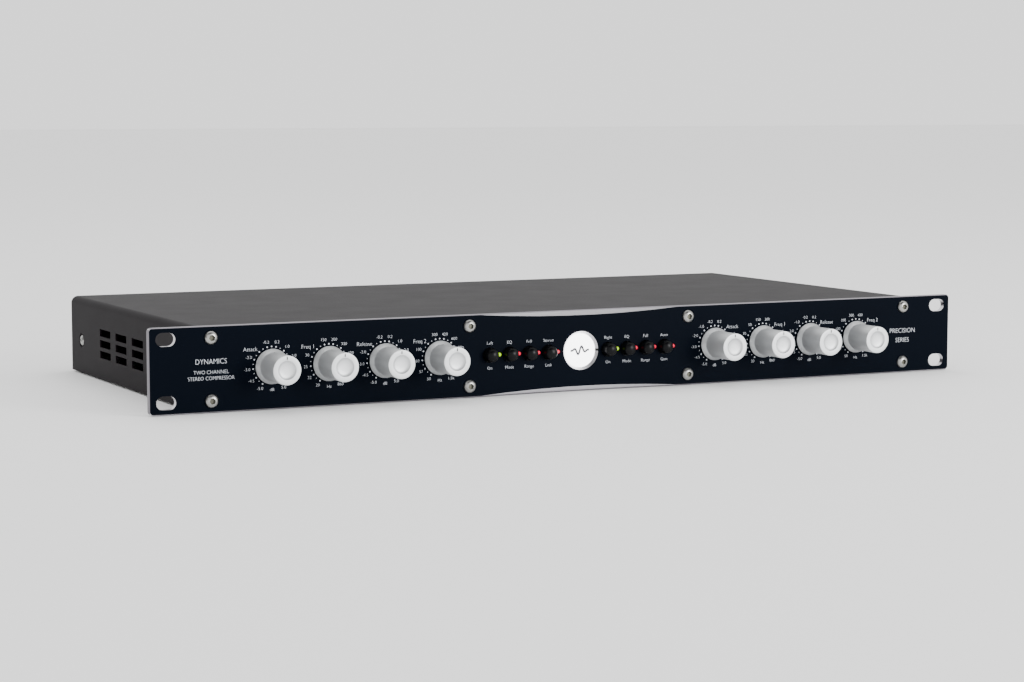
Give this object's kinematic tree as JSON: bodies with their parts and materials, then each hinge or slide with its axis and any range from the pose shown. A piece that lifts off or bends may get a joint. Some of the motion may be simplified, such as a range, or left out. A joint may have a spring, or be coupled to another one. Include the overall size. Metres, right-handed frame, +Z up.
{
  "type": "rack compressor",
  "caption": "One-unit rack-mount dual-channel audio compressor with turned knobs, push buttons, indicator lamps, vented cover and rear connectors.",
  "frame": {"origin": "centre of the front panel's rear face, which is the face that meets the rack rails", "axes": "+X right seen from the front, +Y to the rear, +Z up"},
  "size_m": [0.4826, 0.2466, 0.0436],
  "materials": {
    "panel_black": "satin black anodised face, bare machined edges and bevels",
    "bright_steel": "bright machine screws",
    "black_steel": "black zinc screws",
    "zinc_sheet": "zinc-plated folded sheet",
    "cover_coat": "fine grey-brown powder coat",
    "rear_coat": "fine black powder coat",
    "knob_metal": "fine turned, satin anodised",
    "shaft_metal": "turned",
    "pot_case": "pressed, nickel-plated",
    "nut_metal": "nickel-plated hexagon nuts",
    "button_black": "smooth black cap",
    "switch_case": "moulded",
    "lamp_green": "lit yellow-green",
    "lamp_red": "lit red",
    "lens_white": "lit white diffuser",
    "board_green": "solder mask",
    "capacitor_sleeve": "shrink sleeve, bare top",
    "module_case": "potted block",
    "sink_black": "black anodised extrusion",
    "regulator_case": "moulded, tinned tab",
    "ribbon_grey": "flat cable",
    "coil_tape": "wound tape",
    "pad_rubber": "soft washer",
    "clamp_steel": "zinc-plated washer",
    "connector_black": "black die casting",
    "latch_metal": "stamped latch",
    "contact_gold": "gold-plated pins",
    "inlet_plastic": "moulded, fine grain",
    "blade_nickel": "nickel-plated blades",
    "rocker_gloss": "polished rocker",
    "fuse_glass": "glass tube with metal caps"
  },
  "bodies": {
    "case": {"front_panel": "panel_black", "front_panel_screws": "bright_steel", "chassis_tray": "zinc_sheet", "top_cover": "cover_coat", "cover_screws": "bright_steel", "rear_panel": "rear_coat", "rear_screws": "black_steel", "potentiometers": "pot_case", "potentiometer_nuts": "nut_metal", "push_switches": "switch_case", "green_lamps": "lamp_green", "red_lamps": "lamp_red", "badge_lens": "lens_white", "control_board": "board_green", "main_board": "board_green", "board_standoffs": "nut_metal", "board_screws": "bright_steel", "capacitors": "capacitor_sleeve", "amplifier_modules": "module_case", "heat_sink": "sink_black", "regulators": "regulator_case", "ribbon_cable": "ribbon_grey", "transformer": "coil_tape", "transformer_pad": "pad_rubber", "transformer_clamp": "clamp_steel", "transformer_bolt": "clamp_steel", "xlr_inputs": "connector_black", "xlr_outputs": "connector_black", "xlr_pins": "contact_gold", "mains_inlet": "inlet_plastic", "inlet_blades": "blade_nickel"},
    "left_knob_1": {"left_knob_1": "knob_metal", "left_shaft_1": "shaft_metal"},
    "left_knob_2": {"left_knob_2": "knob_metal", "left_shaft_2": "shaft_metal"},
    "left_knob_3": {"left_knob_3": "knob_metal", "left_shaft_3": "shaft_metal"},
    "left_knob_4": {"left_knob_4": "knob_metal", "left_shaft_4": "shaft_metal"},
    "right_knob_1": {"right_knob_1": "knob_metal", "right_shaft_1": "shaft_metal"},
    "right_knob_2": {"right_knob_2": "knob_metal", "right_shaft_2": "shaft_metal"},
    "right_knob_3": {"right_knob_3": "knob_metal", "right_shaft_3": "shaft_metal"},
    "right_knob_4": {"right_knob_4": "knob_metal", "right_shaft_4": "shaft_metal"},
    "left_button_1": {"left_button_1": "button_black"},
    "left_button_2": {"left_button_2": "button_black"},
    "left_button_3": {"left_button_3": "button_black"},
    "left_button_4": {"left_button_4": "button_black"},
    "right_button_1": {"right_button_1": "button_black"},
    "right_button_2": {"right_button_2": "button_black"},
    "right_button_3": {"right_button_3": "button_black"},
    "right_button_4": {"right_button_4": "button_black"},
    "power_rocker": {"power_rocker": "rocker_gloss"},
    "fuse_drawer": {"fuse_drawer": "inlet_plastic", "fuse": "fuse_glass"},
    "input_latch_left": {"input_latch_left": "latch_metal"},
    "input_latch_right": {"input_latch_right": "latch_metal"}
  },
  "joints": [
    {"name": "left_knob_1_turn", "type": "hinge", "parent": "case", "child": "left_knob_1", "pos_m": [-0.1767, 0, 0], "axis": [0, 1, 0], "range_deg": [-150, 150]},
    {"name": "left_knob_2_turn", "type": "hinge", "parent": "case", "child": "left_knob_2", "pos_m": [-0.1456, 0, 0], "axis": [0, 1, 0], "range_deg": [-150, 150]},
    {"name": "left_knob_3_turn", "type": "hinge", "parent": "case", "child": "left_knob_3", "pos_m": [-0.1145, 0, 0], "axis": [0, 1, 0], "range_deg": [-150, 150]},
    {"name": "left_knob_4_turn", "type": "hinge", "parent": "case", "child": "left_knob_4", "pos_m": [-0.0834, 0, 0], "axis": [0, 1, 0], "range_deg": [-150, 150]},
    {"name": "right_knob_1_turn", "type": "hinge", "parent": "case", "child": "right_knob_1", "pos_m": [0.0834, 0, 0], "axis": [0, 1, 0], "range_deg": [-150, 150]},
    {"name": "right_knob_2_turn", "type": "hinge", "parent": "case", "child": "right_knob_2", "pos_m": [0.1145, 0, 0], "axis": [0, 1, 0], "range_deg": [-150, 150]},
    {"name": "right_knob_3_turn", "type": "hinge", "parent": "case", "child": "right_knob_3", "pos_m": [0.1456, 0, 0], "axis": [0, 1, 0], "range_deg": [-150, 150]},
    {"name": "right_knob_4_turn", "type": "hinge", "parent": "case", "child": "right_knob_4", "pos_m": [0.1767, 0, 0], "axis": [0, 1, 0], "range_deg": [-150, 150]},
    {"name": "left_button_1_press", "type": "slide", "parent": "case", "child": "left_button_1", "axis": [0, 1, 0], "range_m": [0, 0.003], "stiffness_N_per_m": 400},
    {"name": "left_button_2_press", "type": "slide", "parent": "case", "child": "left_button_2", "axis": [0, 1, 0], "range_m": [0, 0.003], "stiffness_N_per_m": 400},
    {"name": "left_button_3_press", "type": "slide", "parent": "case", "child": "left_button_3", "axis": [0, 1, 0], "range_m": [0, 0.003], "stiffness_N_per_m": 400},
    {"name": "left_button_4_press", "type": "slide", "parent": "case", "child": "left_button_4", "axis": [0, 1, 0], "range_m": [0, 0.003], "stiffness_N_per_m": 400},
    {"name": "right_button_1_press", "type": "slide", "parent": "case", "child": "right_button_1", "axis": [0, 1, 0], "range_m": [0, 0.003], "stiffness_N_per_m": 400},
    {"name": "right_button_2_press", "type": "slide", "parent": "case", "child": "right_button_2", "axis": [0, 1, 0], "range_m": [0, 0.003], "stiffness_N_per_m": 400},
    {"name": "right_button_3_press", "type": "slide", "parent": "case", "child": "right_button_3", "axis": [0, 1, 0], "range_m": [0, 0.003], "stiffness_N_per_m": 400},
    {"name": "right_button_4_press", "type": "slide", "parent": "case", "child": "right_button_4", "axis": [0, 1, 0], "range_m": [0, 0.003], "stiffness_N_per_m": 400},
    {"name": "power_rocker_tilt", "type": "hinge", "parent": "case", "child": "power_rocker", "pos_m": [0.147, 0.2155, 0], "axis": [1, 0, 0], "range_deg": [-20, 0]},
    {"name": "fuse_drawer_slide", "type": "slide", "parent": "case", "child": "fuse_drawer", "axis": [0, 1, 0], "range_m": [0, 0.018]},
    {"name": "input_latch_left_press", "type": "slide", "parent": "case", "child": "input_latch_left", "axis": [0, -1, 0], "range_m": [0, 0.0015], "stiffness_N_per_m": 800},
    {"name": "input_latch_right_press", "type": "slide", "parent": "case", "child": "input_latch_right", "axis": [0, -1, 0], "range_m": [0, 0.0015], "stiffness_N_per_m": 800}
  ]
}
